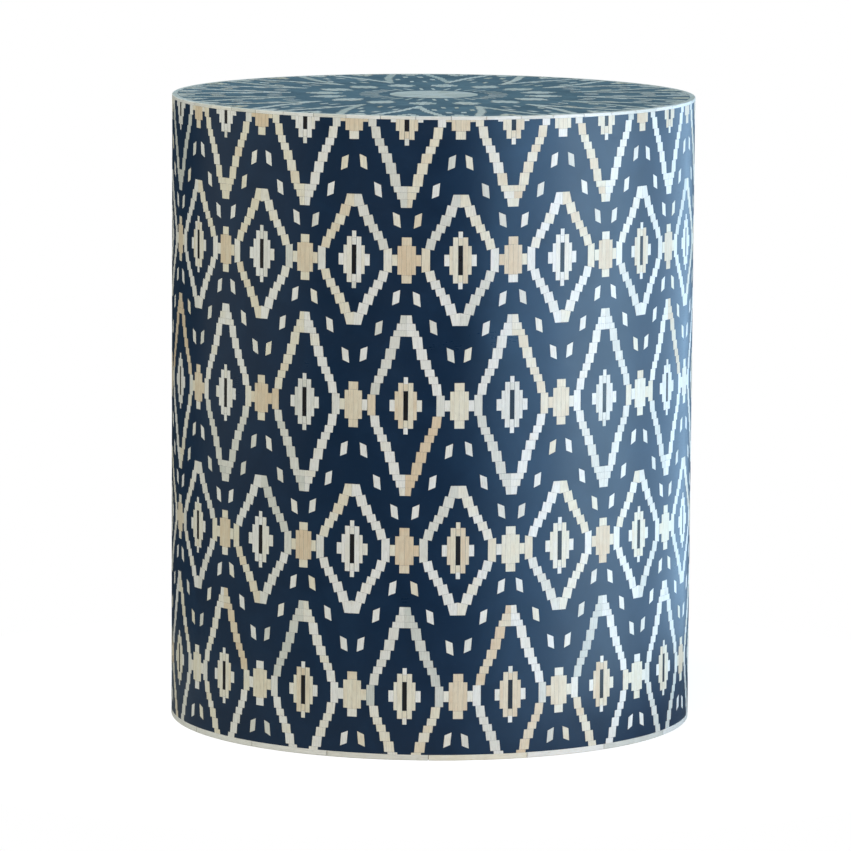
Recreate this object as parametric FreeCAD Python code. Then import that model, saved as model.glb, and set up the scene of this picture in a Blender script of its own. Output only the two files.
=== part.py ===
import FreeCAD, Part
import math
import os

# Drum, in millimetres
drum_diameter = 381.0
drum_height = 457.0

# Wooden drum under the inlay
stave_count = 16
stave_thickness = 14.0
top_board_thickness = 18.0
bottom_board_thickness = 12.0
base_recess = 5.0

# Navy resin coat and the bone set in it
bone_thickness = 3.4
bone_bed = 0.6
top_coat = 2.4

# Bone edging
bottom_band_height = 4.0
top_border_width = 4.0
top_border_slips = 48

# Diamond pattern, its widths as shares of one column
column_count = 16
row_pitch = 102.2
row_turn_share = 0.25
frame_half_width_share = 0.39
leg_width_share = 0.086
tall_half_height = 65.5
tall_tip_depth = 14.0
short_half_height = 46.4
short_tip_depth = 7.0
short_tip_share = 0.082

# Rosette in the middle of the top
rosette_radius = 32.0
rosette_sides = 16

# Sizes worked out from those above
drum_radius = drum_diameter / 2
side_coat = bone_thickness + bone_bed
core_radius = drum_radius - side_coat
core_top = drum_height - top_coat
stave_apothem = core_radius - stave_thickness
border_apothem = drum_radius - top_border_width
stave_angle = 360.0 / stave_count
column_angle = 360.0 / column_count
column_arc = math.pi * drum_diameter / column_count
frame_half_width = frame_half_width_share * column_arc
frame_inner_half_width = frame_half_width - leg_width_share * column_arc
row_turn = row_turn_share * column_angle
cutter_reach = 2.0


def turned(shape, angle):
    copy = shape.copy()
    copy.rotate(FreeCAD.Vector(0, 0, 0), FreeCAD.Vector(0, 0, 1), angle)
    return copy


def cylinder(radius, low, high):
    return Part.makeCylinder(radius, high - low, FreeCAD.Vector(0, 0, low))


def ring(low, high):
    # The part of the drum that lies outside the staves.
    return cylinder(drum_radius, low, high).cut(cylinder(core_radius, low, high))


def polygon_board(sides, apothem, low, high):
    # One flat edge faces the front.
    radius = apothem / math.cos(math.pi / sides)
    corners = []
    for corner in range(sides + 1):
        angle = (2 * corner + 1) * math.pi / sides
        corners.append(FreeCAD.Vector(radius * math.sin(angle), -radius * math.cos(angle), low))
    return Part.Face(Part.makePolygon(corners)).extrude(FreeCAD.Vector(0, 0, high - low))


def front_stave():
    # Flat inside, turned round outside, with mitred edges.
    half_angle = math.pi / stave_count
    outer_right = FreeCAD.Vector(core_radius * math.sin(half_angle), -core_radius * math.cos(half_angle), 0)
    outer_left = FreeCAD.Vector(-outer_right.x, outer_right.y, 0)
    outer_middle = FreeCAD.Vector(0, -core_radius, 0)
    inner_right = FreeCAD.Vector(stave_apothem * math.tan(half_angle), -stave_apothem, 0)
    inner_left = FreeCAD.Vector(-inner_right.x, -stave_apothem, 0)
    outline = Part.Wire([
        Part.Arc(outer_left, outer_middle, outer_right).toShape(),
        Part.makeLine(outer_right, inner_right),
        Part.makeLine(inner_right, inner_left),
        Part.makeLine(inner_left, outer_left),
    ])
    return Part.Face(outline).extrude(FreeCAD.Vector(0, 0, core_top))


def wall_face(points, row_height):
    # A point is the arc from the middle of its column and the height from the middle of its row.
    corners = []
    for arc, height in points:
        across = drum_radius * math.sin(arc / drum_radius)
        corners.append(FreeCAD.Vector(across, -drum_radius - cutter_reach, row_height + height))
    return Part.Face(Part.makePolygon(corners + corners[:1]))


def lozenge(half_width, half_height):
    return [(0, half_height), (half_width, 0), (0, -half_height), (-half_width, 0)]


def blunt_lozenge(half_width, half_height, half_tip):
    return [
        (-half_tip, half_height),
        (half_tip, half_height),
        (half_width, 0),
        (half_tip, -half_height),
        (-half_tip, -half_height),
        (-half_width, 0),
    ]


def frame_row(outer, inner, row_height, turn):
    # Flat at the back, sanded round with the drum in front, and cut off where it meets the edging.
    face = wall_face(outer, row_height).cut(wall_face(inner, row_height))
    bar = face.extrude(FreeCAD.Vector(0, cutter_reach + bone_thickness, 0))
    frame = bar.common(cylinder(drum_radius, bottom_band_height, core_top))
    return [turned(frame, turn + column * column_angle) for column in range(column_count)]


def tall_row(row_height):
    outer = lozenge(frame_half_width, tall_half_height)
    inner = lozenge(frame_inner_half_width, tall_half_height - tall_tip_depth)
    return frame_row(outer, inner, row_height, -row_turn)


def short_row(row_height):
    outer = blunt_lozenge(frame_half_width, short_half_height, short_tip_share * column_arc)
    inner = lozenge(frame_inner_half_width, short_half_height - short_tip_depth)
    return frame_row(outer, inner, row_height, row_turn)


def rows_below(first_height, half_height):
    # Heights of every second row, down to the last one that shows above the bottom band.
    heights = []
    height = first_height
    while height + half_height > bottom_band_height + tall_tip_depth:
        heights.append(height)
        height -= 2 * row_pitch
    return heights


def save(name, shape):
    shape.exportStep("parts/" + name + ".step")


os.makedirs("parts", exist_ok=True)

# Wooden drum
stave = front_stave()
for number in range(stave_count):
    save("stave_%02d" % (number + 1), turned(stave, number * stave_angle))
bottom_board_top = base_recess + bottom_board_thickness
save("top_board", polygon_board(stave_count, stave_apothem, core_top - top_board_thickness, core_top))
save("bottom_board", polygon_board(stave_count, stave_apothem, base_recess, bottom_board_top))

# Inlaid wall
tall_frames = []
for height in rows_below(drum_height, tall_half_height):
    tall_frames += tall_row(height)
short_frames = []
for height in rows_below(drum_height - row_pitch, short_half_height):
    short_frames += short_row(height)
save("tall_diamond_frames", Part.Compound(tall_frames))
save("short_diamond_frames", Part.Compound(short_frames))
save("side_resin", ring(bottom_band_height, core_top).cut(tall_frames + short_frames))
save("bottom_edge_band", ring(0, bottom_band_height))

# Inlaid top
rosette = polygon_board(rosette_sides, rosette_radius, core_top, drum_height)
top_field = polygon_board(top_border_slips, border_apothem, core_top, drum_height)
save("top_rosette", rosette)
save("top_resin", top_field.cut(rosette))
save("top_edge_border", cylinder(drum_radius, core_top, drum_height).cut(top_field))
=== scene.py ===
import math
import random

import bpy
from mathutils import Matrix, Vector


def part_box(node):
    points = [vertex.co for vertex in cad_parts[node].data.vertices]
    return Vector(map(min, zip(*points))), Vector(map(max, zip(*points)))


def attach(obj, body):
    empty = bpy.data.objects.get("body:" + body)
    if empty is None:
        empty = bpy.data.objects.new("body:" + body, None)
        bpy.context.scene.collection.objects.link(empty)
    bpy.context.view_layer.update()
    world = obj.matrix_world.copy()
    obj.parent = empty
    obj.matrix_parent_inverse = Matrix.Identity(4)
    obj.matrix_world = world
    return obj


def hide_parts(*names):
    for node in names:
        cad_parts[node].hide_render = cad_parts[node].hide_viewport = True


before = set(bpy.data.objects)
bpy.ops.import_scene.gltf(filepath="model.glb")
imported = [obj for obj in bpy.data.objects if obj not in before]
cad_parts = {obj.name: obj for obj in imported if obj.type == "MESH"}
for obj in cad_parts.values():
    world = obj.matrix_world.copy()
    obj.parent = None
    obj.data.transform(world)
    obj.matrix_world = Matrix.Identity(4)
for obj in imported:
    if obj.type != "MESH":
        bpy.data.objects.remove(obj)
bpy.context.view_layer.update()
scene = bpy.context.scene
rng = random.Random(41)  # the same slips in every run
mm = 0.001
print("frame loaded,", len(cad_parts), "nodes")

# Sizes of the drum in millimetres, most of them read from the frame
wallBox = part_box("side_resin")
drum = {
    "radius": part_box("bottom_edge_band")[1].x / mm,
    "height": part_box("top_edge_border")[1].z / mm,
    "wallLow": wallBox[0].z / mm,
    "wallHigh": wallBox[1].z / mm,
    "coreRadius": -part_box("stave_01")[0].y / mm,
    "rosetteApothem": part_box("top_rosette")[1].x / mm,
    "columns": 16,
    "rowPitch": 102.2,
    "rowTurn": math.radians(5.625),  # a quarter of a column
}
columnTurn = math.tau / drum["columns"]

# How a slip of bone is cut and seated, with its lengths in millimetres
slipCut = {
    "joint": 0.06,        # resin showing between two slips
    "arris": 0.06,        # edge rubbed off by sanding
    "arrisStain": 0.4,    # how much of the edge colour is left on it
    "depth": 1.3,
    "jitter": 0.03,       # hand-sawn corners
    "sink": 0.03,         # some slips polish a little lower
    "leastHeight": 0.9,   # a smaller offcut is left out
    "leastMitre": 0.35,   # holds back the inset at sharp corners
}
grainStock = 3.0          # metres of grain that the slips are cut from
resinDepth = 0.10         # the resin lies this far below the bone
sharpAngle = 40           # faces that meet at more degrees than this keep a crisp edge


def newMaterial(name):
    material = bpy.data.materials.new(name)
    material.use_nodes = True
    tree = material.node_tree
    tree.nodes.clear()
    output = tree.nodes.new("ShaderNodeOutputMaterial")
    shader = tree.nodes.new("ShaderNodeBsdfPrincipled")
    tree.links.new(shader.outputs["BSDF"], output.inputs["Surface"])
    return material, tree, shader


def feed(tree, value, socket):
    # a number or a colour is set on the socket, another node's output is linked to it
    if isinstance(value, (int, float)):
        socket.default_value = value
    elif isinstance(value, tuple):
        socket.default_value = (*value, 1.0)
    else:
        tree.links.new(value, socket)


def addNode(tree, kind, settings=None, **values):
    node = tree.nodes.new(kind)
    for key, value in (settings or {}).items():
        setattr(node, key, value)
    for key, value in values.items():
        feed(tree, value, node.inputs[key])
    return node


def addNoise(tree, **values):
    return addNode(tree, "ShaderNodeTexNoise", **values).outputs["Fac"]


def addRamp(tree, source, stops):
    ramp = addNode(tree, "ShaderNodeValToRGB", Fac=source)
    elements = ramp.color_ramp.elements
    while len(elements) < len(stops):
        elements.new(0.5)
    for element, (position, colour) in zip(elements, stops):
        element.position = position
        element.color = (*colour, 1.0)
    return ramp.outputs["Color"]


def addMath(tree, operation, *values):
    node = addNode(tree, "ShaderNodeMath", {"operation": operation})
    for socket, value in zip(node.inputs, values):
        feed(tree, value, socket)
    return node.outputs["Value"]


def addRange(tree, source, fromSpan, toSpan):
    node = addNode(tree, "ShaderNodeMapRange", {"clamp": True}, Value=source)
    for name, value in zip(("From Min", "From Max", "To Min", "To Max"), (*fromSpan, *toSpan)):
        node.inputs[name].default_value = value
    return node.outputs["Result"]


def addMix(tree, blend, factor, first, second):
    node = addNode(tree, "ShaderNodeMix", {"data_type": "RGBA", "blend_type": blend})
    for number, value in ((0, factor), (6, first), (7, second)):  # the node's sockets for colours
        feed(tree, value, node.inputs[number])
    return node.outputs[2]


def addBump(tree, shader, height, bumpLook):
    strength, distance = bumpLook
    bump = addNode(tree, "ShaderNodeBump", Height=height, Strength=strength, Distance=distance)
    feed(tree, bump.outputs["Normal"], shader.inputs["Normal"])


def addScaling(tree, vector):
    # the second input is left to the caller
    node = addNode(tree, "ShaderNodeVectorMath", {"operation": "MULTIPLY"})
    feed(tree, vector, node.inputs[0])
    return node


def newGroup(name, inputs, outputs):
    # every group takes a place and some numbers, and puts out masks
    group = bpy.data.node_groups.new(name, "ShaderNodeTree")
    group.interface.new_socket("Vector", in_out="INPUT", socket_type="NodeSocketVector")
    for way, names in (("INPUT", inputs), ("OUTPUT", outputs)):
        for socketName in names:
            group.interface.new_socket(socketName, in_out=way, socket_type="NodeSocketFloat")
    return group, group.nodes.new("NodeGroupInput").outputs, group.nodes.new("NodeGroupOutput").inputs


def addGroup(tree, group, **values):
    return addNode(tree, "ShaderNodeGroup", {"node_tree": group}, **values).outputs


noiseSpan = (0.3, 0.7)    # most of a noise lies between these
poreSpan = (0.62, 0.70)   # only its peaks are pores


def fibreGroup():
    # long streaks and short pores that run along the second axis
    group, given, made = newGroup("fibreStreaks", ["Across", "Along"], ["Streak", "Pores"])
    spread = addNode(group, "ShaderNodeCombineXYZ", X=given["Across"], Y=given["Along"], Z=given["Across"])
    stretch = addScaling(group, given["Vector"])
    feed(group, spread.outputs["Vector"], stretch.inputs[1])
    place = stretch.outputs["Vector"]
    streak = addNoise(group, Vector=place, Scale=1.0, Detail=4.0, Roughness=0.62)
    pore = addNoise(group, Vector=place, Scale=2.6, Detail=1.0, Roughness=0.4)
    feed(group, streak, made["Streak"])
    feed(group, addRange(group, pore, poreSpan, (0.0, 1.0)), made["Pores"])
    return group


def polishGroup():
    # hazy patches and fine sanding marks left by the polish
    group, given, made = newGroup("polishMarks", ["PatchScale", "MarkScale"], ["Haze", "Marks"])
    patch = addNoise(group, Vector=given["Vector"], Scale=given["PatchScale"], Detail=5.0, Roughness=0.6)
    squeeze = addScaling(group, given["Vector"])
    squeeze.inputs[1].default_value = (0.12, 0.12, 1.0)  # the marks run level
    level = squeeze.outputs["Vector"]
    mark = addNoise(group, Vector=level, Scale=given["MarkScale"], Detail=3.0, Roughness=0.7)
    feed(group, patch, made["Haze"])
    feed(group, mark, made["Marks"])
    return group


fibreStreaks = fibreGroup()
polishMarks = polishGroup()


def addPolish(tree, look):
    place = addNode(tree, "ShaderNodeTexCoord").outputs["Object"]
    return addGroup(tree, polishMarks, Vector=place, PatchScale=look["patchScale"],
                    MarkScale=look["markScale"])


boneLook = {
    "shades": [  # grey, pale, ivory, cream and tan bone
        (0.00, (0.58, 0.60, 0.53)),
        (0.25, (0.72, 0.71, 0.615)),
        (0.50, (0.825, 0.815, 0.745)),
        (0.73, (0.79, 0.74, 0.57)),
        (1.00, (0.71, 0.565, 0.375)),
    ],
    "drift": 0.22, "driftScale": 120.0,  # change of shade inside a slip
    "across": 1500.0, "along": 70.0,     # fineness of the grain, to the metre
    "streakShade": (0.84, 1.06),
    "poreColour": (0.34, 0.26, 0.15), "poreShare": 0.34, "poreRough": 0.12,
    "edgeColour": (0.30, 0.25, 0.18), "edgeShare": 0.5,
    "roughness": (0.30, 0.46),
    "patchScale": 45.0, "markScale": 1400.0,
    "bump": (0.25, 0.00008),             # strength, and depth in metres
}


def boneMaterial():
    material, tree, shader = newMaterial("polishedBone")
    grain = addNode(tree, "ShaderNodeUVMap", {"uv_map": "grain"}).outputs["UV"]
    tone = addNode(tree, "ShaderNodeAttribute", {"attribute_name": "tone"}).outputs["Fac"]
    edge = addNode(tree, "ShaderNodeAttribute", {"attribute_name": "edge"}).outputs["Fac"]
    fibre = addGroup(tree, fibreStreaks, Vector=grain, Across=boneLook["across"], Along=boneLook["along"])
    cloud = addNoise(tree, Vector=grain, Scale=boneLook["driftScale"], Detail=2.0)
    drift = addMath(tree, "MULTIPLY_ADD", cloud, boneLook["drift"], -boneLook["drift"] / 2)
    base = addRamp(tree, addMath(tree, "ADD", tone, drift), boneLook["shades"])
    shade = addRange(tree, fibre["Streak"], noiseSpan, boneLook["streakShade"])
    streaked = addMix(tree, "MULTIPLY", 1.0, base, shade)
    poreShare = addMath(tree, "MULTIPLY", fibre["Pores"], boneLook["poreShare"])
    porous = addMix(tree, "MIX", poreShare, streaked, boneLook["poreColour"])
    edgeShare = addMath(tree, "MULTIPLY", edge, boneLook["edgeShare"])
    stained = addMix(tree, "MIX", edgeShare, porous, boneLook["edgeColour"])
    feed(tree, stained, shader.inputs["Base Color"])
    haze = addRange(tree, addPolish(tree, boneLook)["Haze"], noiseSpan, boneLook["roughness"])
    poreRough = addMath(tree, "MULTIPLY", fibre["Pores"], boneLook["poreRough"])
    feed(tree, addMath(tree, "ADD", haze, poreRough), shader.inputs["Roughness"])
    addBump(tree, shader, addMath(tree, "SUBTRACT", fibre["Streak"], fibre["Pores"]), boneLook["bump"])
    return material


hornLook = {
    "shades": [(0.0, (0.004, 0.004, 0.006)), (0.6, (0.012, 0.010, 0.010)), (1.0, (0.05, 0.035, 0.022))],
    "across": 1100.0, "along": 90.0,
    "roughness": (0.25, 0.40),
    "patchScale": 60.0, "markScale": 1400.0,
}


def hornMaterial():
    material, tree, shader = newMaterial("blackHorn")
    grain = addNode(tree, "ShaderNodeUVMap", {"uv_map": "grain"}).outputs["UV"]
    fibre = addGroup(tree, fibreStreaks, Vector=grain, Across=hornLook["across"], Along=hornLook["along"])
    feed(tree, addRamp(tree, fibre["Streak"], hornLook["shades"]), shader.inputs["Base Color"])
    haze = addRange(tree, addPolish(tree, hornLook)["Haze"], noiseSpan, hornLook["roughness"])
    feed(tree, haze, shader.inputs["Roughness"])
    return material


resinLook = {
    "shades": [  # navy, mottled where the pigment settled
        (0.25, (0.0042, 0.0165, 0.0400)),
        (0.50, (0.0060, 0.0215, 0.0510)),
        (0.75, (0.0085, 0.0285, 0.0640)),
    ],
    "mottleScale": 26.0,
    "dust": (0.10, 0.13, 0.16), "dustScale": 420.0,
    "dustSpan": (0.04, 0.10), "dustShare": (0.30, 0.0),    # specks fade out from their middles
    "roughness": (0.27, 0.36),
    "markSpan": (0.45, 0.75), "markRough": (0.0, 0.06),
    "patchScale": 24.0, "markScale": 1100.0,
    "bump": (0.12, 0.0002), "bumpScale": 190.0,
}


def resinMaterial():
    material, tree, shader = newMaterial("navyResin")
    place = addNode(tree, "ShaderNodeTexCoord").outputs["Object"]
    mottle = addNoise(tree, Vector=place, Scale=resinLook["mottleScale"], Detail=6.0, Roughness=0.62,
                      Distortion=0.6)
    base = addRamp(tree, mottle, resinLook["shades"])
    speck = addNode(tree, "ShaderNodeTexVoronoi", Vector=place, Scale=resinLook["dustScale"], Randomness=1.0)
    dust = addRange(tree, speck.outputs["Distance"], resinLook["dustSpan"], resinLook["dustShare"])
    feed(tree, addMix(tree, "MIX", dust, base, resinLook["dust"]), shader.inputs["Base Color"])
    polish = addPolish(tree, resinLook)
    haze = addRange(tree, polish["Haze"], noiseSpan, resinLook["roughness"])
    marks = addRange(tree, polish["Marks"], resinLook["markSpan"], resinLook["markRough"])
    feed(tree, addMath(tree, "ADD", haze, marks), shader.inputs["Roughness"])
    ripple = addNoise(tree, Vector=place, Scale=resinLook["bumpScale"], Detail=3.0)
    addBump(tree, shader, ripple, resinLook["bump"])
    return material


woodLook = {
    "stave": {"dark": (0.16, 0.085, 0.042), "light": (0.36, 0.22, 0.12), "across": 130.0, "along": 4.0,
              "tilt": math.pi / 2},  # its grain stands upright
    "ply": {"dark": (0.30, 0.19, 0.105), "light": (0.52, 0.37, 0.23), "across": 90.0, "along": 5.0,
            "tilt": 0.0},
    "stops": (0.36, 0.62),
    "coarseShare": 0.65, "fineAcross": 7, "fineAlong": 5,  # coarse streaks, and finer ones beside them
    "poreColour": (0.25, 0.2, 0.15), "poreShare": 0.45,
    "roughness": (0.55, 0.75),
    "bump": (0.4, 0.0003),
}


def woodMaterial(name, look):
    material, tree, shader = newMaterial(name)
    place = addNode(tree, "ShaderNodeTexCoord").outputs["Object"]
    turned = addNode(tree, "ShaderNodeMapping", Vector=place)
    turned.inputs["Rotation"].default_value = (look["tilt"], 0.0, 0.0)
    lengthways = turned.outputs["Vector"]
    coarse = addGroup(tree, fibreStreaks, Vector=lengthways, Across=look["across"], Along=look["along"])
    fine = addGroup(tree, fibreStreaks, Vector=lengthways, Across=look["across"] * woodLook["fineAcross"],
                    Along=look["along"] * woodLook["fineAlong"])
    blend = addMath(tree, "ADD", addMath(tree, "MULTIPLY", coarse["Streak"], woodLook["coarseShare"]),
                    addMath(tree, "MULTIPLY", fine["Streak"], 1.0 - woodLook["coarseShare"]))
    base = addRamp(tree, blend, list(zip(woodLook["stops"], (look["dark"], look["light"]))))
    pores = addMath(tree, "MULTIPLY", fine["Pores"], woodLook["poreShare"])
    feed(tree, addMix(tree, "MULTIPLY", pores, base, woodLook["poreColour"]), shader.inputs["Base Color"])
    feed(tree, addRange(tree, fine["Streak"], noiseSpan, woodLook["roughness"]), shader.inputs["Roughness"])
    addBump(tree, shader, fine["Streak"], woodLook["bump"])
    return material


polishedBone = boneMaterial()
blackHorn = hornMaterial()
navyResin = resinMaterial()
staveWood = woodMaterial("staveWood", woodLook["stave"])
plyBoard = woodMaterial("plyBoard", woodLook["ply"])
print("materials made")


def onCircle(reach, angle):
    # angles start at the front and grow to the right
    return (reach * math.sin(angle), -reach * math.cos(angle))


def inwards(angle):
    return onCircle(-1.0, angle)


def onDrum(reach, angle, height):
    return (*onCircle(reach * mm, angle), height * mm)


def onWall(turn, height):
    # across and along are measured on the drum's skin from the middle of a motif
    def place(across, along, depth):
        return onDrum(drum["radius"] - depth, turn + across / drum["radius"], height + along)
    return place


def onTop(across, along, depth):
    return (across * mm, along * mm, (drum["height"] - depth) * mm)


def bent(outline, turn):
    # the wall's pattern bent over the rim: along becomes the way to the middle of the top
    return [onCircle(drum["radius"] - along, turn + across / drum["radius"]) for across, along in outline]


def inset(outline, margin):
    # every edge of the outline moved inwards by the margin
    corners = []
    for number, here in enumerate(outline):
        here = Vector(here)
        before = (here - Vector(outline[number - 1])).normalized()
        after = (Vector(outline[(number + 1) % len(outline)]) - here).normalized()
        inward = Vector((-before.y - after.y, before.x + after.x))
        corners.append(here + inward * (margin / max(1.0 + before.dot(after), slipCut["leastMitre"])))
    return corners


def cutLevel(outline, level, keepAbove):
    # the part of an outline above or below a level
    kept = []
    side = 1 if keepAbove else -1
    for number, here in enumerate(outline):
        before = outline[number - 1]
        if (before[1] - level) * (here[1] - level) < 0:
            share = (level - before[1]) / (here[1] - before[1])
            kept.append((before[0] + share * (here[0] - before[0]), level))
        if (here[1] - level) * side >= 0:
            kept.append(here)
    return kept


def trimmed(outline, low, high):
    kept = cutLevel(cutLevel(outline, low, True), high, False)
    if len(kept) < 3:
        return None
    heights = [along for across, along in kept]
    return kept if max(heights) - min(heights) > slipCut["leastHeight"] else None


def mirrored(outline, acrossSign, alongSign):
    corners = [(acrossSign * across, alongSign * along) for across, along in outline]
    return corners[::-1] if acrossSign * alongSign < 0 else corners


def smoothFaces(mesh):
    mesh.polygons.foreach_set("use_smooth", [True] * len(mesh.polygons))
    mesh.set_sharp_from_angle(angle=math.radians(sharpAngle))


def seat(mesh, material, slotName, *nodes):
    mesh.validate()
    piece = bpy.data.objects.new(mesh.name, mesh)
    mesh.materials.append(material)
    scene.collection.objects.link(piece)
    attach(piece, "root")
    if nodes:
        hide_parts(*nodes)


# Where a slip lies in its own square of the baked picture: front and sides to the left, back to the right
bakeSquare = {
    "frontMiddle": (0.41, 0.5), "frontHalf": (0.39, 0.48),
    "backMiddle": (0.90, 0.5), "backHalf": (0.08, 0.48),
    "ringShares": (0.84, 0.91, 0.98),  # face, arris and foot of the sides
}


def squareSpot(face, off, half, share=1.0):
    middle, reach = bakeSquare[face + "Middle"], bakeSquare[face + "Half"]
    return tuple(middle[axis] + reach[axis] * share * off[axis] / half[axis] for axis in (0, 1))


class Inlay:
    # gathers the slips of one piece, then makes its mesh
    rounded = False

    def __init__(self, name):
        self.name = name
        self.verts, self.faces = [], []
        self.tones, self.edges = [], []
        self.grain, self.spots = [], []
        self.slipCount = 0

    def slip(self, outline, place, tone, along=(0.0, 1.0)):
        # the outline runs anticlockwise, and along is the way of the grain
        jitter = slipCut["jitter"]
        body = [corner + Vector((rng.uniform(-jitter, jitter), rng.uniform(-jitter, jitter)))
                for corner in inset(outline, slipCut["joint"] / 2)]
        face = inset(body, slipCut["arris"])
        sink = rng.uniform(0.0, slipCut["sink"])
        start = Vector((rng.uniform(0.0, grainStock), rng.uniform(0.0, grainStock)))
        rings = ((face, sink), (body, sink + slipCut["arris"]), (body, slipCut["depth"]))
        count, first, way = len(body), len(self.verts), Vector(along)
        middle = sum(body, Vector((0.0, 0.0))) / count
        half = [max(abs(corner[axis] - middle[axis]) for corner in body) for axis in (0, 1)]
        grain, front, back = [], [], []
        for (ring, depth), share in zip(rings, bakeSquare["ringShares"]):
            self.verts += [place(corner.x, corner.y, depth) for corner in ring]
            for off in (corner - middle for corner in ring):
                grain.append((start.x + (off.x * way.y - off.y * way.x) * mm, start.y + off.dot(way) * mm))
                front.append(squareSpot("front", off, half, share))
                back.append(squareSpot("back", off, half))

        def close(corners, edge, spots):
            self.addFace([first + corner for corner in corners], tone, edge,
                         [grain[corner] for corner in corners], [spots[corner] for corner in corners])

        for here in range(count):
            after = (here + 1) % count
            for low, stain in ((0, slipCut["arrisStain"]), (count, 1.0)):
                high = low + count
                close([low + here, high + here, high + after, low + after], stain, front)
        close(range(count), 0.0, front)
        close(range(3 * count - 1, 2 * count - 1, -1), 1.0, back)
        self.slipCount += 1

    def addFace(self, corners, tone, edge, grain, spots):
        # every corner has a place on the grain and a spot on the baked picture
        self.faces.append(corners)
        self.tones.append(tone)
        self.edges.append(edge)
        self.grain += grain
        self.spots += [(self.slipCount, *spot) for spot in spots]

    def bakePlaces(self):
        side = max(1, math.ceil(math.sqrt(self.slipCount)))
        return [((slip % side + across) / side, (slip // side + along) / side)
                for slip, across, along in self.spots]

    def build(self, material, slotName, *nodes):
        mesh = bpy.data.meshes.new(self.name)
        mesh.from_pydata(self.verts, [], self.faces)
        for name, values in (("tone", self.tones), ("edge", self.edges)):
            mesh.attributes.new(name, "FLOAT", "FACE").data.foreach_set("value", values)
        for name, places in (("grain", self.grain), ("OFBake", self.bakePlaces())):
            uvMap = mesh.uv_layers.new(name=name)
            uvMap.uv.foreach_set("vector", [value for place in places for value in place])
        if self.rounded:
            smoothFaces(mesh)
        seat(mesh, material, slotName, *nodes)


# Middle shade and spread of each kind of bone
boneStock = {"grey": (0.06, 0.05), "pale": (0.27, 0.07), "ivory": (0.50, 0.06), "cream": (0.73, 0.06),
             "tan": (0.93, 0.05)}


def boneTone(mix):
    # a batch of bone, by its share of the stock
    kind = rng.choices(list(mix), weights=list(mix.values()))[0]
    middle, spread = boneStock[kind]
    return rng.gauss(middle, spread)


# Diamond frames: each leg is a flight of chips, stepped on both sides, listed from the tip to the waist
# The sizes were picked from another script's listing of edges on the mean of the front diamonds
tallFrame = {
    "joints": [64.0, 58.1, 53.2, 48.9, 40.3, 32.6, 25.9, 20.8, 15.6, 7.4],
    "outer": [4.2, 6.7, 9.0, 11.6, 14.7, 17.7, 20.1, 22.6, 25.0, 27.4],
    "inner": [0.0, 0.0, 0.0, 4.5, 7.4, 10.3, 13.3, 16.0, 18.6, 21.6],
    "lean": 0.10, "rise": 0.0, "tipWander": 0.7,
    "tones": {"grey": 1, "pale": 5, "ivory": 5, "cream": 4, "tan": 1}, "chipSpread": 0.055,
}
shortFrame = {
    "joints": [46.2, 38.0, 31.1, 24.7, 19.9, 14.6, 7.8],
    "outer": [6.4, 10.3, 14.1, 17.2, 20.7, 24.1, 27.3],
    "inner": [0.0, 3.2, 7.0, 10.8, 14.1, 17.8, 21.4],
    "lean": 0.24, "rise": 0.20, "tipWander": 0.7,
    "tones": {"pale": 4, "ivory": 6, "cream": 4}, "chipSpread": 0.055,
}


def onJoint(spec, chip, across):
    # height of the joint above a chip, which may rise towards the outside
    if chip == 0:
        return spec["joints"][0]
    middle = (spec["outer"][chip - 1] + spec["inner"][chip]) / 2
    return spec["joints"][chip] + spec["rise"] * (across - middle)


def legOutlines(spec, tipJoint):
    # one upper leg on the right side, without the waist
    outlines = []
    for chip in range(len(spec["joints"]) - 1):
        swing = spec["lean"] * (spec["joints"][chip] - spec["joints"][chip + 1]) / 2
        inner, outer = spec["inner"][chip], spec["outer"][chip]
        feet, tops = (inner + swing, outer + swing), (inner - swing, outer - swing)
        if inner == 0.0:  # meets the other leg in the middle of the tip
            feet, tops = (tipJoint, outer + swing), (tipJoint, outer - swing)
        outlines.append([(across, onJoint(spec, chip + 1, across)) for across in feet]
                        + [(across, onJoint(spec, chip, across)) for across in reversed(tops)])
    return outlines


def waistOutline(spec):
    last = len(spec["joints"]) - 1
    inner, outer = spec["inner"][last], spec["outer"][last]
    return [(inner, -onJoint(spec, last, inner)), (outer, -onJoint(spec, last, outer)),
            (outer, onJoint(spec, last, outer)), (inner, onJoint(spec, last, inner))]


def frameSlips(spec):
    # every slip of one diamond, with its shade
    slips = []
    for alongSign in (1, -1):
        joint = rng.uniform(-spec["tipWander"], spec["tipWander"])
        for acrossSign in (1, -1):
            legTone = boneTone(spec["tones"])
            for outline in legOutlines(spec, joint * acrossSign):
                chipTone = legTone + rng.gauss(0.0, spec["chipSpread"])
                slips.append((mirrored(outline, acrossSign, alongSign), chipTone))
    for acrossSign in (1, -1):
        slips.append((mirrored(waistOutline(spec), acrossSign, 1), boneTone(spec["tones"])))
    return slips


# The real rows wander: shares of 1, sin t, sin 2t and cos 2t in millimetres, at a turn of t
# These numbers weren't chosen by hand: another script fitted them to the photograph, and they are rounded
rowWander = [
    {"across": (0.7, -0.5, 1.3, -0.4), "up": (-0.3, 1.4, 0.2, 0.2)},
    {"across": (1.1, -0.2, 1.2, -0.4), "up": (1.1, -0.7, 1.0, 0.0)},
    {"across": (1.3, 0.0, 1.2, -0.6), "up": (0.8, 0.9, 0.1, -0.2)},
    {"across": (1.2, 0.4, 1.1, -0.8), "up": (1.2, -0.9, 1.0, -1.4)},
    {"across": (1.0, 1.0, 0.9, 0.2), "up": (-0.3, 0.7, 0.1, -2.0)},
]


def wandered(row, turn):
    waves = (1.0, math.sin(turn), math.sin(2 * turn), math.cos(2 * turn))
    across, up = (sum(share * wave for share, wave in zip(rowWander[row][way], waves))
                  for way in ("across", "up"))
    return turn + across / drum["radius"], drum["height"] - row * drum["rowPitch"] + up


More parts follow.
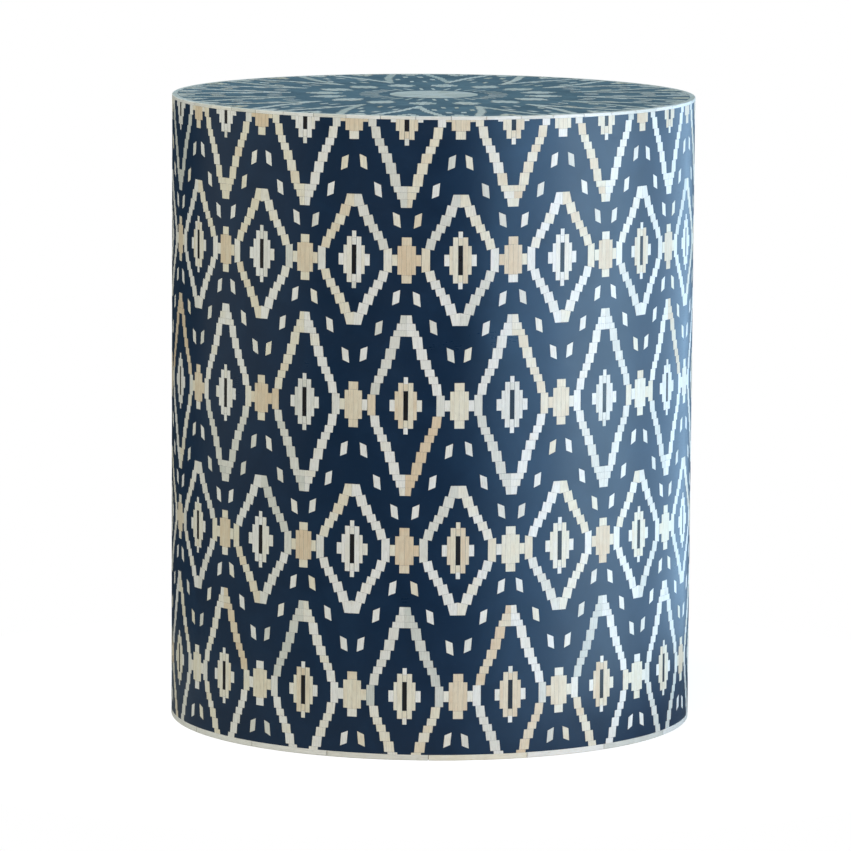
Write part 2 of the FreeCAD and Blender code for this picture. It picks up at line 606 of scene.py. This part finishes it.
def layOnWall(inlay, slips, row, turn):
    turn, height = wandered(row, turn)
    place = onWall(turn, height)
    for outline, tone in slips:
        kept = trimmed(outline, drum["wallLow"] - height, drum["wallHigh"] - height)
        if kept:
            inlay.slip(kept, place, tone)


# Medallion in each diamond, round a sliver of horn: corners of upright slips as (left, right, low, high).
# The body and posts are cut from one batch of bone, the arms and tips partly from others.
medallion = {
    "body": [(1.7, 5.3, -16.2, 16.2), (5.3, 7.8, -10.1, 10.1)],
    "posts": [(-1.55, 1.55, 10.4, 15.4)],
    "arms": [(7.8, 11.45, -4.1, 4.1)],
    "tips": [(-1.55, 1.55, 15.4, 20.3)],
    "match": 0.75, "tones": {"pale": 1, "ivory": 4, "cream": 4, "tan": 2},
    "endMatch": 0.1, "endTones": {"pale": 1, "ivory": 6},
}
hornSliver = {"width": 2.9, "halfHeight": 10.2, "tilt": 0.02, "tone": 0.5}  # horn comes in one shade


def upright(left, right, low, high):
    return [(left, low), (right, low), (right, high), (left, high)]


def motifSlips(spec, stretch=1.0):
    # body and arms are mirrored sideways, posts and tips upside down
    sideways, overturned = ((1, 1), (-1, 1)), ((1, 1), (1, -1))
    slips = []
    batch = boneTone(spec["tones"])
    for part, copies in (("body", sideways), ("posts", overturned), ("arms", sideways), ("tips", overturned)):
        inner = part in ("body", "posts")
        share = spec["match" if inner else "endMatch"]
        for corners in spec[part]:
            outline = [(across * stretch, along) for across, along in upright(*corners)]
            for acrossSign, alongSign in copies:
                own = boneTone(spec["tones" if inner else "endTones"])
                slips.append((mirrored(outline, acrossSign, alongSign), share * batch + (1.0 - share) * own))
    return slips


def hornSlips():
    tilt = rng.gauss(0.0, hornSliver["tilt"])
    half = hornSliver["width"] / 2
    outline = upright(-half, half, -hornSliver["halfHeight"], hornSliver["halfHeight"])
    return [([(across - tilt * along, along) for across, along in outline], hornSliver["tone"])]


# Connector between two diamonds of a row
connector = {
    "body": [(0.0, 3.4, -10.6, 10.6), (3.4, 6.25, -10.1, 10.1)],
    "posts": [],
    "arms": [(6.25, 9.95, -3.9, 3.9)],
    "tips": [(-3.4, 3.4, 10.6, 16.2)],
    "match": 0.85, "tones": {"cream": 3, "tan": 7},
    "endMatch": 0.5, "endTones": {"pale": 2, "ivory": 5, "cream": 4, "tan": 2},
}


def gapShare(row, turn, beside, spec):
    # a connector is cut to fill the gap between the two diamonds beside it
    apart = abs(wandered(row, turn)[0] - wandered(row, beside)[0]) * drum["radius"]
    waists = 2 * spec["outer"][-1]
    return (apart - waists) / (columnTurn * drum["radius"] - waists)


# Small slanted slips in pairs on the open field
fieldSlip = {
    "width": 4.8, "side": 9.0, "endSlope": 0.44, "lean": 0.09, "wander": 0.5,
    "tones": {"pale": 4, "ivory": 8, "cream": 2},
    "tallPairs": [(6.7, 35.9), (6.9, -32.0)],
    "shortPairs": [(7.6, 27.4), (20.1, 48.6), (7.4, -26.8), (19.5, -47.7)],
}


def fieldOutline(falls):
    half = fieldSlip["width"] / 2
    rise = fieldSlip["endSlope"] * half * falls
    top = fieldSlip["side"] / 2
    lean = fieldSlip["lean"] * falls
    corners = [(-half, rise - top), (half, -rise - top), (half, top - rise), (-half, top + rise)]
    return [(across - lean * along, along) for across, along in corners]


def fieldSlips(pairs):
    slips = []
    wander = fieldSlip["wander"]
    for across, along in pairs:
        for sign in (1, -1):
            aside = sign * across + rng.gauss(0.0, wander)
            up = along + rng.gauss(0.0, wander)
            outline = [(x + aside, y + up) for x, y in fieldOutline(sign if along < 0 else -sign)]
            slips.append((outline, boneTone(fieldSlip["tones"])))
    return slips


def wallInlay():
    tall, short = Inlay("tallFrames"), Inlay("shortFrames")
    medallions, horn = Inlay("wallMedallions"), Inlay("wallHorn")
    connectors, field = Inlay("wallConnectors"), Inlay("wallFieldSlips")
    for row in range(len(rowWander)):
        isTall = row % 2 == 0
        side = -1 if isTall else 1
        spec = tallFrame if isTall else shortFrame
        pairs = fieldSlip["tallPairs" if isTall else "shortPairs"]
        for column in range(drum["columns"]):
            turn = column * columnTurn + side * drum["rowTurn"]
            between = turn - side * columnTurn / 2
            gap = gapShare(row, turn, turn - side * columnTurn, spec)
            layOnWall(tall if isTall else short, frameSlips(spec), row, turn)
            layOnWall(medallions, motifSlips(medallion), row, turn)
            layOnWall(horn, hornSlips(), row, turn)
            layOnWall(connectors, motifSlips(connector, gap), row, between)
            layOnWall(field, fieldSlips(pairs), row, between)
    tall.build(polishedBone, "bone", "tall_diamond_frames")
    short.build(polishedBone, "bone", "short_diamond_frames")
    medallions.build(polishedBone, "bone")
    horn.build(blackHorn, "bone")
    connectors.build(polishedBone, "bone")
    field.build(polishedBone, "bone")
    inlays = (tall, short, medallions, horn, connectors, field)
    print("wall inlay:", sum(inlay.slipCount for inlay in inlays), "slips")


wallInlay()

# Resin field of the wall, a closed ring on the staves
wallResin = {"segments": 256, "rows": 3}


def runLengths(profile):
    # the way round the profile to each corner, and at last back to the first
    lengths = [0.0]
    for here, after in zip(profile, profile[1:] + profile[:1]):
        lengths.append(lengths[-1] + (Vector(after) - Vector(here)).length)
    return lengths


def ringMesh(name, profile, segments):
    # profile corners run anticlockwise as (reach, height) in the plane to the right of the middle
    verts, faces, places = [], [], []
    count, lengths = len(profile), runLengths(profile)
    for step in range(segments):
        angle = math.tau * step / segments
        verts += [onDrum(reach, angle, height) for reach, height in profile]
        ring, nextRing = step * count, (step + 1) % segments * count
        left, right = step / segments, (step + 1) / segments
        for here in range(count):
            after = (here + 1) % count
            faces.append([ring + here, nextRing + here, nextRing + after, ring + after])
            low, high = lengths[here] / lengths[-1], lengths[here + 1] / lengths[-1]
            places += [left, low, right, low, right, high, left, high]
    mesh = bpy.data.meshes.new(name)
    mesh.from_pydata(verts, [], faces)
    mesh.uv_layers.new(name="OFBake").uv.foreach_set("vector", places)
    smoothFaces(mesh)
    return mesh


def wallField():
    outer, inner = drum["radius"] - resinDepth, drum["coreRadius"]
    low, high, rows = drum["wallLow"], drum["wallHigh"], wallResin["rows"]
    skin = [(outer, low + (high - low) * row / rows) for row in range(rows + 1)]
    mesh = ringMesh("wallResin", [(inner, low)] + skin + [(inner, high)], wallResin["segments"])
    seat(mesh, navyResin, "navy_resin", "side_resin")


wallField()
print("wall resin made")

# Where a bar of edging lies in its own strip of the baked picture: its skin below, its two ends above
bakeStrip = {"margin": 0.02, "length": 0.96, "girth": 0.88,
             "ends": (0.3, 0.7), "endLevel": 0.93, "endWidth": 0.2, "endHeight": 0.1}


class Edging(Inlay):
    # bent bars of bone with a profile of (reach, height) corners, anticlockwise
    rounded = True

    def bar(self, profileAt, startAngle, endAngle, segments, tone):
        first, profile = len(self.verts), profileAt(0.5)
        count, lengths = len(profile), runLengths(profile)
        shift = rng.uniform(0.0, grainStock)
        pace = (endAngle - startAngle) * drum["radius"] * mm / segments
        for step in range(segments + 1):
            share = step / segments
            angle = startAngle + (endAngle - startAngle) * share
            self.verts += [onDrum(reach, angle, height) for reach, height in profileAt(share)]
        for step in range(segments):
            ring, nextRing = first + step * count, first + (step + 1) * count
            for here in range(count):
                after = (here + 1) % count
                turns = ((step, here), (step + 1, here), (step + 1, here + 1), (step, here + 1))
                self.addFace([ring + here, nextRing + here, nextRing + after, ring + after], tone, 0.0,
                             [(shift + lengths[corner] * mm, shift + cut * pace) for cut, corner in turns],
                             [(bakeStrip["margin"] + bakeStrip["length"] * cut / segments,
                               bakeStrip["margin"] + bakeStrip["girth"] * lengths[corner] / lengths[-1])
                              for cut, corner in turns])
        offs = [(Vector(corner) - Vector(profile[0])) / lengths[-1] for corner in profile]
        ends = ((first, range(count)), (first + segments * count, range(count - 1, -1, -1)))
        for (ring, order), middle in zip(ends, bakeStrip["ends"]):
            spots = [(middle + bakeStrip["endWidth"] * off.x,
                      bakeStrip["endLevel"] + bakeStrip["endHeight"] * off.y) for off in offs]
            self.addFace([ring + corner for corner in order], tone, 1.0,
                         [(shift + lengths[corner] * mm, shift) for corner in order],
                         [spots[corner] for corner in order])
        self.slipCount += 1

    def bakePlaces(self):
        return [(across, (bar + along) / self.slipCount) for bar, across, along in self.spots]


# Bone edging in bent lengths, butted end to end; the edge beside the resin is rubbed off less
bottomBand = {"lengths": 17, "wander": 0.10, "arris": 0.35, "slightArris": 0.35 / 3, "gap": 0.0012,
              "segments": 12, "tones": {"pale": 2, "ivory": 5, "cream": 1}}


def bottomEdge():
    outer, inner, high = drum["radius"], drum["coreRadius"], drum["wallLow"]
    arris, slight, gap = bottomBand["arris"], bottomBand["slightArris"], bottomBand["gap"]
    profile = [(inner, 0.0), (outer - arris, 0.0), (outer, arris), (outer, high - slight),
               (outer - slight, high), (inner, high)]
    band = Edging("bottomBand")
    pitch = math.tau / bottomBand["lengths"]
    cuts = [pitch * (number + rng.uniform(-bottomBand["wander"], bottomBand["wander"]))
            for number in range(bottomBand["lengths"])]
    cuts.append(cuts[0] + math.tau)
    for start, stop in zip(cuts, cuts[1:]):
        tone = boneTone(bottomBand["tones"])
        band.bar(lambda share: profile, start + gap, stop - gap, bottomBand["segments"], tone)
    band.build(polishedBone, "bone", "bottom_edge_band")


topBorder = {"lengths": 48, "arris": 0.35, "slightArris": 0.35 / 3, "gap": 0.0009, "segments": 4,
             "tones": {"pale": 2, "ivory": 6}}


def topEdge():
    outer, inner, low, high = drum["radius"], drum["coreRadius"], drum["wallHigh"], drum["height"]
    arris, slight, gap = topBorder["arris"], topBorder["slightArris"], topBorder["gap"]
    border = Edging("topBorder")
    pitch = math.tau / topBorder["lengths"]

    def profileAt(share):
        # straight on the inside, round on the outside
        straight = inner / math.cos(pitch * (share - 0.5))
        return [(straight, low), (outer - slight, low), (outer, low + slight), (outer, high - arris),
                (outer - arris, high), (straight, high)]

    for number in range(topBorder["lengths"]):
        start = (number - 0.5) * pitch
        tone = boneTone(topBorder["tones"])
        border.bar(profileAt, start + gap, start + pitch - gap, topBorder["segments"], tone)
    border.build(polishedBone, "bone", "top_edge_border")


bottomEdge()
topEdge()
print("edging made")

# Top: the wall's pattern bent over the rim and closed round a rosette
topPattern = {
    "rimTrim": 4.3,         # where the border stops the pattern
    "stretch": 1.34,        # the half diamonds reach further in than on the wall
    "fieldPairs": [(6.6, 33.0), (18.5, 54.0), (8.0, 74.0)],
    "blobReach": 80.0, "blobWidth": 3.9, "blobHalves": [13.5, 10.0, 5.0],
    "dashReach": 47.0, "dashWidth": 2.3, "dashHalf": 7.0, "dashApart": 4.4,
    # greyer, cooler bone mix on the top: painted shade for the dim, bluish light that falls on the top
    "tones": {"grey": 2, "pale": 5, "ivory": 4},
}


def layOnTop(inlay, slips, turn, stretch=1.0):
    for outline, tone in slips:
        longer = [(across, along * stretch) for across, along in outline]
        kept = trimmed(longer, topPattern["rimTrim"], drum["radius"])
        if kept:
            inlay.slip(bent(kept, turn), onTop, tone, inwards(turn))


def straightSlip(turn, reach, offset, width, half):
    # a slip that points to the middle of the top, as corners on the top
    away = Vector(onCircle(1.0, turn))
    side = Vector((math.cos(turn), math.sin(turn)))
    middle = away * reach + side * offset
    return [tuple(middle + side * (x * width / 2) - away * (y * half))
            for x, y in ((-1, -1), (1, -1), (1, 1), (-1, 1))]


def blobOutlines(turn):
    # a stepped blob: one slip in the middle, then shorter ones in pairs
    width = topPattern["blobWidth"]
    for step, half in enumerate(topPattern["blobHalves"]):
        for sign in ((1, -1) if step else (1,)):
            yield straightSlip(turn, topPattern["blobReach"], sign * step * width, width, half)


def dashOutlines(turn):
    for sign in (1, -1):
        yield straightSlip(turn, topPattern["dashReach"], sign * topPattern["dashApart"],
                           topPattern["dashWidth"], topPattern["dashHalf"])


def topInlay():
    frames, medallions, horn = Inlay("topFrames"), Inlay("topMedallions"), Inlay("topHorn")
    connectors, field, ring = Inlay("topConnectors"), Inlay("topFieldSlips"), Inlay("topRings")
    # the top's frames and connectors take the top's greyer mix, a painted shade
    shadedTopFrame, shadedTopConnector = ({**piece, "tones": topPattern["tones"]} for piece in (tallFrame, connector))
    for column in range(drum["columns"]):
        middle = column * columnTurn - drum["rowTurn"]
        gap = gapShare(0, middle, middle + columnTurn, tallFrame)
        turn, between = wandered(0, middle)[0], wandered(0, middle + columnTurn / 2)[0]
        layOnTop(frames, frameSlips(shadedTopFrame), turn, topPattern["stretch"])
        layOnTop(medallions, motifSlips(medallion), turn)
        layOnTop(horn, hornSlips(), turn)
        layOnTop(connectors, motifSlips(shadedTopConnector, gap), between)
        layOnTop(field, fieldSlips(topPattern["fieldPairs"]), between)
        for outline in (*blobOutlines(turn), *dashOutlines(between)):
            ring.slip(outline, onTop, boneTone(topPattern["tones"]), inwards(middle))
    inlays = (frames, medallions, horn, connectors, field, ring)
    for inlay in inlays:
        inlay.build(blackHorn if inlay is horn else polishedBone, "bone")
    print("top inlay:", sum(inlay.slipCount for inlay in inlays), "slips")


rosette = {"petals": 16, "hubReach": 9.0, "hubSides": 24, "hubTone": 0.5}


def rosetteInlay():
    inlay = Inlay("topRosette")
    petal = math.tau / rosette["petals"]
    hub, rim = rosette["hubReach"], drum["rosetteApothem"] / math.cos(petal / 2)
    for number in range(rosette["petals"]):
        left, right = (number - 0.5) * petal, (number + 0.5) * petal
        outline = [onCircle(rim, left), onCircle(rim, right), onCircle(hub, right), onCircle(hub, left)]
        inlay.slip(outline, onTop, boneTone(topPattern["tones"]), inwards(number * petal))
    angles = [math.tau * side / rosette["hubSides"] for side in range(rosette["hubSides"])]
    outline = [(hub * math.cos(angle), hub * math.sin(angle)) for angle in angles]
    inlay.slip(outline, onTop, rosette["hubTone"])
    inlay.build(polishedBone, "bone", "top_rosette")


topResin = {"segments": 256, "underRosette": 1.0, "underBorder": 0.1}


def topField():
    high, low = drum["height"] - resinDepth, drum["wallHigh"]
    inner = drum["rosetteApothem"] - topResin["underRosette"]
    outer = drum["coreRadius"] + topResin["underBorder"]
    profile = [(inner, low), (outer, low), (outer, high), (inner, high)]
    mesh = ringMesh("topResin", profile, topResin["segments"])
    seat(mesh, navyResin, "navy_resin", "top_resin")


topInlay()
rosetteInlay()
topField()
print("top made")

# Bare wood inside the drum
for name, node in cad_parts.items():
    if name.startswith("stave_"):
        node.data.materials.clear()
        node.data.materials.append(staveWood)
    elif name in ("top_board", "bottom_board"):
        node.data.materials.clear()
        node.data.materials.append(plyBoard)
print("wood finished")

# Sheet of pale paper under the table; the camera sees it burnt out to white
paperFloor = {
    "reach": 0.46, "sides": 96, "colour": (0.28, 0.28, 0.27), "glow": (0.90, 0.90, 0.90),
    "toothScale": 350.0, "toothSpan": (0.2, 0.8), "toothShade": (0.98, 1.02),
    "roughness": 0.9, "specular": 0.1,
}


def floorPlane():
    reach, sides = paperFloor["reach"], paperFloor["sides"]
    turns = [math.tau * side / sides for side in range(sides)]
    mesh = bpy.data.meshes.new("studioFloor")
    mesh.from_pydata([(reach * math.cos(turn), reach * math.sin(turn), 0.0) for turn in turns], [],
                     [range(sides)])
    material, tree, shader = newMaterial("palePaper")
    place = addNode(tree, "ShaderNodeTexCoord").outputs["Object"]
    tooth = addNoise(tree, Vector=place, Scale=paperFloor["toothScale"], Detail=3.0)
    shade = addRange(tree, tooth, paperFloor["toothSpan"], paperFloor["toothShade"])
    lightPath = tree.nodes.new("ShaderNodeLightPath")
    feed(tree, addMix(tree, "MULTIPLY", 1.0, paperFloor["colour"], shade), shader.inputs["Base Color"])
    feed(tree, paperFloor["roughness"], shader.inputs["Roughness"])
    feed(tree, paperFloor["specular"], shader.inputs["Specular IOR Level"])
    feed(tree, paperFloor["glow"], shader.inputs["Emission Color"])
    feed(tree, lightPath.outputs["Is Camera Ray"], shader.inputs["Emission Strength"])
    mesh.materials.append(material)
    floor = bpy.data.objects.new("studioFloor", mesh)
    scene.collection.objects.link(floor)


# White backdrop for the camera, a dim room for the light
studioRoom = {"backdrop": (1.0, 1.0, 1.0), "roomLight": (0.035, 0.05, 0.065)}


def studioWorld():
    world = bpy.data.worlds.new("studioRoom")
    world.use_nodes = True
    tree = world.node_tree
    tree.nodes.clear()
    output = tree.nodes.new("ShaderNodeOutputWorld")
    lightPath = tree.nodes.new("ShaderNodeLightPath")
    mix = addNode(tree, "ShaderNodeMixShader", Fac=lightPath.outputs["Is Camera Ray"])
    for socket, colour in ((mix.inputs[1], "roomLight"), (mix.inputs[2], "backdrop")):
        paint = addNode(tree, "ShaderNodeBackground", Color=studioRoom[colour], Strength=1.0)
        feed(tree, paint.outputs["Background"], socket)
    feed(tree, mix.outputs["Shader"], output.inputs["Surface"])
    scene.world = world


# Windows to the right, soft lamps for the rest; lamps without glints don't show in the polish
studioLights = {
    "windowLight": {"place": (1.75, -0.55, 0.20), "aim": (0.0, -0.55, 0.20), "size": (1.3, 0.9),
                    "watts": 22.0, "colour": (0.48, 0.75, 1.0), "glints": True},
    "windowBack": {"place": (1.75, 1.90, 0.0), "aim": (0.0, 1.90, 0.0), "size": (3.6, 1.3),
                   "watts": 38.0, "colour": (0.45, 0.72, 1.0), "glints": True},
    "windowFront": {"place": (1.75, -2.70, 0.20), "aim": (0.0, -2.70, 0.20), "size": (3.0, 0.9),
                    "watts": 40.0, "colour": (0.30, 0.62, 1.0), "glints": True},
    "sideLight": {"place": (1.8, -1.6, 0.4), "aim": (0.0, 0.0, 0.2), "size": (1.6, 0.8),
                  "watts": 25.0, "colour": (1.0, 0.66, 0.46), "glints": False},
    "frontLight": {"place": (-0.9, -2.4, 1.9), "aim": (0.0, 0.0, 0.2), "size": (2.2, 1.2),
                   "watts": 42.0, "colour": (1.0, 1.0, 0.94), "glints": True},
    "leftLight": {"place": (-2.6, -0.6, 1.6), "aim": (0.0, 0.0, 0.2), "size": (1.8, 1.2),
                  "watts": 37.0, "colour": (1.0, 1.0, 0.96), "glints": False},
    "leftCard": {"place": (-1.9, -0.25, 0.32), "aim": (0.0, -0.25, 0.32), "size": (2.3, 0.9),
                 "watts": 2.0, "colour": (1.0, 1.0, 0.9), "glints": True},
    "skyLight": {"place": (0.0, 0.2, 2.2), "aim": (0.0, 0.2, 0.0), "size": (0.9, 0.9),
                 "watts": 9.0, "colour": (0.42, 0.75, 1.0), "glints": False},
    "backLight": {"place": (0.3, 3.0, 1.1), "aim": (0.0, 0.0, 0.4), "size": (3.4, 1.2),
                  "watts": 7.0, "colour": (0.42, 0.80, 1.0), "glints": True},
}


def softLights():
    for name, spec in studioLights.items():
        lamp = bpy.data.lights.new(name, "AREA")
        lamp.shape = "RECTANGLE"
        lamp.size, lamp.size_y = spec["size"]
        lamp.energy = spec["watts"]
        lamp.color = spec["colour"]
        light = bpy.data.objects.new(name, lamp)
        light.location = spec["place"]
        light.visible_camera = False
        light.visible_glossy = spec["glints"]
        beam = Vector(spec["aim"]) - Vector(spec["place"])
        light.rotation_euler = beam.to_track_quat("-Z", "Y").to_euler()
        scene.collection.objects.link(light)


# Camera that another script fitted to the photograph's view, with its place in metres and turns in radians
view = {"place": (0.0, -4.422, 0.8185), "pitch": 0.1360, "roll": 0.0070, "lens": 257.2, "sensor": 36.0,
        "shiftX": -0.0070}


def photoCamera():
    data = bpy.data.cameras.new("photoCamera")
    data.sensor_width = view["sensor"]
    data.lens = view["lens"]
    data.shift_x = view["shiftX"]
    camera = bpy.data.objects.new("photoCamera", data)
    scene.collection.objects.link(camera)
    tip = Matrix.Rotation(math.pi / 2 - view["pitch"], 4, "X")
    roll = Matrix.Rotation(view["roll"], 4, "Z")
    camera.matrix_world = Matrix.Translation(view["place"]) @ tip @ roll
    scene.camera = camera


floorPlane()
studioWorld()
softLights()
photoCamera()
scene.view_settings.view_transform = "Standard"
print("studio set")
